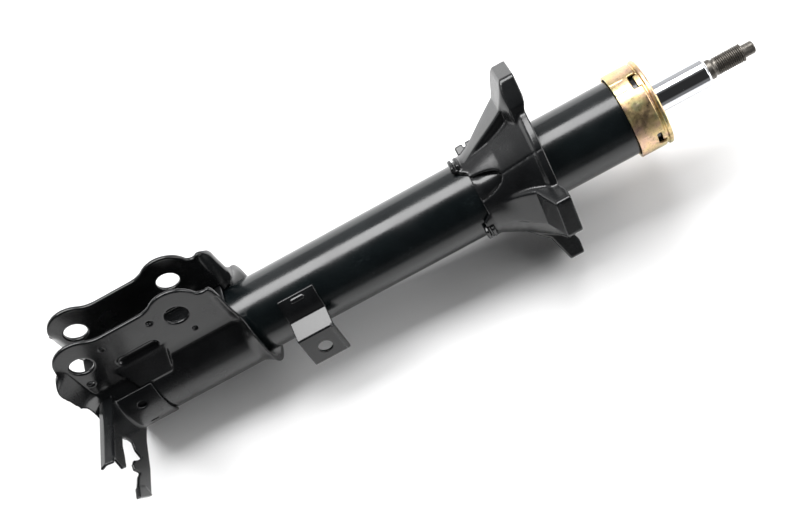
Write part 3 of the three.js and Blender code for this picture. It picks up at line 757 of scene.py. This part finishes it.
# ---- bump stop cap ----
CAP_STEP = 0.35
x, y, z = samples((CAP_LOW.x - 2, -31, -31), (CAP_HIGH.x + 2, 31, 31), CAP_STEP)
radius = np.hypot(y, z)
turns = np.degrees(np.arctan2(-y, z))
SKIRT_R = CAP_RIM_R - 0.4
WINDOW_ANGLE = -17
GROOVE_X = 387.6
body = outline_distance([
    (CAP_LOW.x, 26.8), (CAP_LOW.x, SKIRT_R), (386.4, SKIRT_R), (GROOVE_X - 0.5, SKIRT_R - 1.2),
    (GROOVE_X + 0.5, SKIRT_R - 1.2), (388.8, CAP_RIM_R), (CAP_HIGH.x - 0.7, CAP_RIM_R),
    (CAP_HIGH.x, CAP_RIM_R - 0.8), (CAP_HIGH.x, 13), (389.2, 13), (389.2, 25.6), (388, 26.8)],
    x, radius)
for i in range(4):
    off = (turns - WINDOW_ANGLE - 90 * i + 180) % 360 - 180
    window = trim(slab(x, 381.4, 387.4), np.abs(off) * math.pi / 180 * SKIRT_R - 5.6, 1.2)
    window = np.maximum(window, 24 - radius)
    tongue = trim(slab(x, 384.6, 387.6), np.abs(off) * math.pi / 180 * SKIRT_R - 4.9, 0.8)
    tongue = trim(tongue, slab(radius, 26.2, 27.3), 0.4)
    body = blend(cut(body, window, 0.4), tongue, 0.3)
for crease in (-9, 7):          # two creases under the photographed window
    off = (turns - crease - WINDOW_ANGLE + 180) % 360 - 180
    fade = 1 - ramp(x, 377, 380)
    body = body + 0.30 * fade * np.exp(-(off / 1.3) ** 2)
pressed("bump_stop_cap_plated", body, (x, y, z), CAP_STEP, 0, keep=0.4, relax=2,
        stands_for=["bump_stop_cap"], slot="yellow_zinc")

# ---- piston rod ----
SHOULDER_X = 429.2
THREAD_X = 435.4
THREAD_END = 453.7
PITCH = 1.25
THREAD_DEPTH = 0.72


def thread(r, x, turns):
    """Cuts a rolled thread and the two flats of the tip into the plain profile."""
    phase = ((x - THREAD_X) / PITCH - turns / (2 * math.pi)) % 1
    tooth = THREAD_DEPTH * np.clip(1.25 - 2.5 * np.abs(phase - 0.5), 0, 1)
    inside = np.clip((x - THREAD_X + 0.6) / 0.8, 0, 1)
    inside = inside * np.clip((THREAD_END - 0.4 - x) / 0.8, 0, 1)
    inside = inside * (r > 5.2)
    cut_r = r - (THREAD_DEPTH - tooth) * inside
    flats = 3.55 / np.maximum(np.abs(np.cos(turns - 0.6)), 1e-3)
    return np.where(x > THREAD_END + 0.8, np.minimum(cut_r, flats), cut_r)


PISTON_STEP_X = 67.6            # the rod is turned down to carry the piston
CREST_STEP = 0.05
turned("piston_rod_ground", [
    (0.001, ROD_LOW.x), (5.2, ROD_LOW.x), (6, ROD_LOW.x + 0.8), (6, PISTON_STEP_X),
    (ROD_R, PISTON_STEP_X), (ROD_R, SHOULDER_X - 1.6), (8.6, SHOULDER_X), (0.001, SHOULDER_X)],
    radius=0.25, body="rod_assembly", stands_for=["piston_rod"], slot="hard_chrome")
crest_count = int((THREAD_END - THREAD_X) / CREST_STEP)
crests = [(6.0, THREAD_X + CREST_STEP * i) for i in range(crest_count)]
stud_profile = rounded([
    (0.001, SHOULDER_X - 2), (6.6, SHOULDER_X - 2), (6.6, THREAD_X - 2.6), (5.4, THREAD_X - 1.4),
    (5.9, THREAD_X)], 0.4)[:-1] + crests
stud_profile += [(4.7, THREAD_END + 0.3), (4.2, THREAD_END + 0.5), (4.2, ROD_END - 0.8),
                 (3.5, ROD_END), (0.001, ROD_END)]
stud = turned("stud_threaded", stud_profile, radius=0.02, shape=thread, body="rod_assembly",
              slot="hard_chrome")
stud.data.materials.clear()
stud.data.materials.append(PHOSPHATE)

# ---- floor: a plane under the seat's lobes and the bracket's lower lip ----
shown = np.concatenate([
    np.array([obj.matrix_world @ v.co for v in obj.data.vertices]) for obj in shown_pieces()])
lowest = shown[shown[:, 2].argmin()]
left = shown[shown[:, 0] < lowest[0] - 0.1]
rise_per_metre = float(((left[:, 2] - lowest[2]) / (lowest[0] - left[:, 0])).min())
floor_mesh = bpy.data.meshes.new("floor")
FLOOR_REACH = 6.0
floor_level = lowest[2] - 0.0004
floor_mesh.from_pydata([
    (lowest[0] + sx * FLOOR_REACH, sy * FLOOR_REACH,
     floor_level - sx * FLOOR_REACH * rise_per_metre)
    for sx, sy in ((-1, -1), (1, -1), (1, 1), (-1, 1))], [], [(0, 1, 2, 3)])
floor = bpy.data.objects.new("floor", floor_mesh)
bpy.context.scene.collection.objects.link(floor)
floor_material, floor_tree = material("floor_card")
floor_shader = shader_of(floor_tree)
floor_tones = [(0.3, (0.88, 0.88, 0.88)), (0.7, (0.90, 0.90, 0.90))]
floor_tree.links.new(graded(floor_tree, noise(floor_tree, 3, 2), floor_tones),
                     floor_shader.inputs["Base Color"])
floor_shader.inputs["Roughness"].default_value = 0.9
floor_shader.inputs["Specular IOR Level"].default_value = 0.1
floor_mesh.materials.append(floor_material)

# ---- camera: 17 degrees round the axis from +Z, 6.4 degrees along it, rolled 28.3 degrees ----
LOOK_ROUND = math.radians(17)
LOOK_ALONG = math.radians(6.396)
ROLL = math.radians(28.29)
LENS = 53.78
AXIS = Vector((1, 0, 0))
DOWN = Vector((0, -math.cos(LOOK_ROUND), -math.sin(LOOK_ROUND)))
TOWARDS = Vector((0, -math.sin(LOOK_ROUND), math.cos(LOOK_ROUND)))
forward = -(math.sin(LOOK_ALONG) * AXIS + math.cos(LOOK_ALONG) * TOWARDS)
level = math.cos(LOOK_ALONG) * AXIS - math.sin(LOOK_ALONG) * TOWARDS
right = math.cos(ROLL) * level + math.sin(ROLL) * DOWN
up = math.sin(ROLL) * level - math.cos(ROLL) * DOWN
camera_data = bpy.data.cameras.new("camera")
camera_data.lens = LENS
camera_data.sensor_width = 36
camera = bpy.data.objects.new("camera", camera_data)
bpy.context.scene.collection.objects.link(camera)
CAMERA_AT = 0.2864 * AXIS + 0.0164 * DOWN + 0.7734 * TOWARDS
camera_turn = Matrix((right, up, -forward)).transposed().to_4x4()
camera.matrix_world = Matrix.Translation(CAMERA_AT) @ camera_turn
bpy.context.scene.camera = camera


# ---- soft studio light ----
STRUT_MIDDLE = Vector((0.22, 0, 0))


def softbox(name, round_angle, along, distance, size, power):
    """An area lamp facing the strut's middle; angles are from the viewing direction."""
    turn_by = LOOK_ROUND + math.radians(round_angle)
    direction = Vector((math.sin(math.radians(along)),
                        -math.sin(turn_by) * math.cos(math.radians(along)),
                        math.cos(turn_by) * math.cos(math.radians(along))))
    lamp = bpy.data.lights.new(name, "AREA")
    lamp.shape = "RECTANGLE"
    lamp.size, lamp.size_y = size
    lamp.energy = power
    obj = bpy.data.objects.new(name, lamp)
    obj.location = STRUT_MIDDLE + direction * distance
    side_way = AXIS - direction * AXIS.dot(direction)
    side_way.normalize()
    other = direction.cross(side_way)
    facing = Matrix((side_way, other, direction)).transposed().to_4x4()
    obj.matrix_world = Matrix.Translation(obj.location) @ facing
    bpy.context.scene.collection.objects.link(obj)
    return obj


softbox("key", -50, -6, 1.5, (1.8, 0.78), 44)
softbox("fill", -10, 60, 1.7, (1.2, 1.6), 22)

# The studio: dark over the camera, pale walls on either side, set by the angle round the strut.
world = bpy.data.worlds.new("studio")
bpy.context.scene.world = world
world.use_nodes = True
nodes, links = world.node_tree.nodes, world.node_tree.links
place = nodes.new("ShaderNodeTexCoord")


def component(direction):
    """How far the view ray points along a direction."""
    facing = nodes.new("ShaderNodeVectorMath")
    facing.operation = "DOT_PRODUCT"
    facing.inputs[1].default_value = direction
    links.new(place.outputs["Generated"], facing.inputs[0])
    return facing.outputs["Value"]


round_strut = nodes.new("ShaderNodeMath")
round_strut.operation = "ARCTAN2"
links.new(component(DOWN), round_strut.inputs[0])
links.new(component(TOWARDS), round_strut.inputs[1])
share = spread(world.node_tree, round_strut.outputs[0], 0, 1, -math.pi, math.pi)


def shade(degrees, grey):
    """A grey at an angle round the strut, from the viewing direction."""
    return (0.5 + degrees / 360, (grey, grey, grey * 1.01))


sky = graded(world.node_tree, share, [
    shade(-180, 0.9), shade(-90, 0.62), shade(-46, 0.50), shade(-18, 0.03), shade(46, 0.03),
    shade(58, 0.20), shade(110, 0.22), shade(180, 0.9)])
background = nodes["Background"]
links.new(sky, background.inputs["Color"])
background.inputs["Strength"].default_value = 1.0
bpy.context.scene.view_settings.view_transform = "Standard"
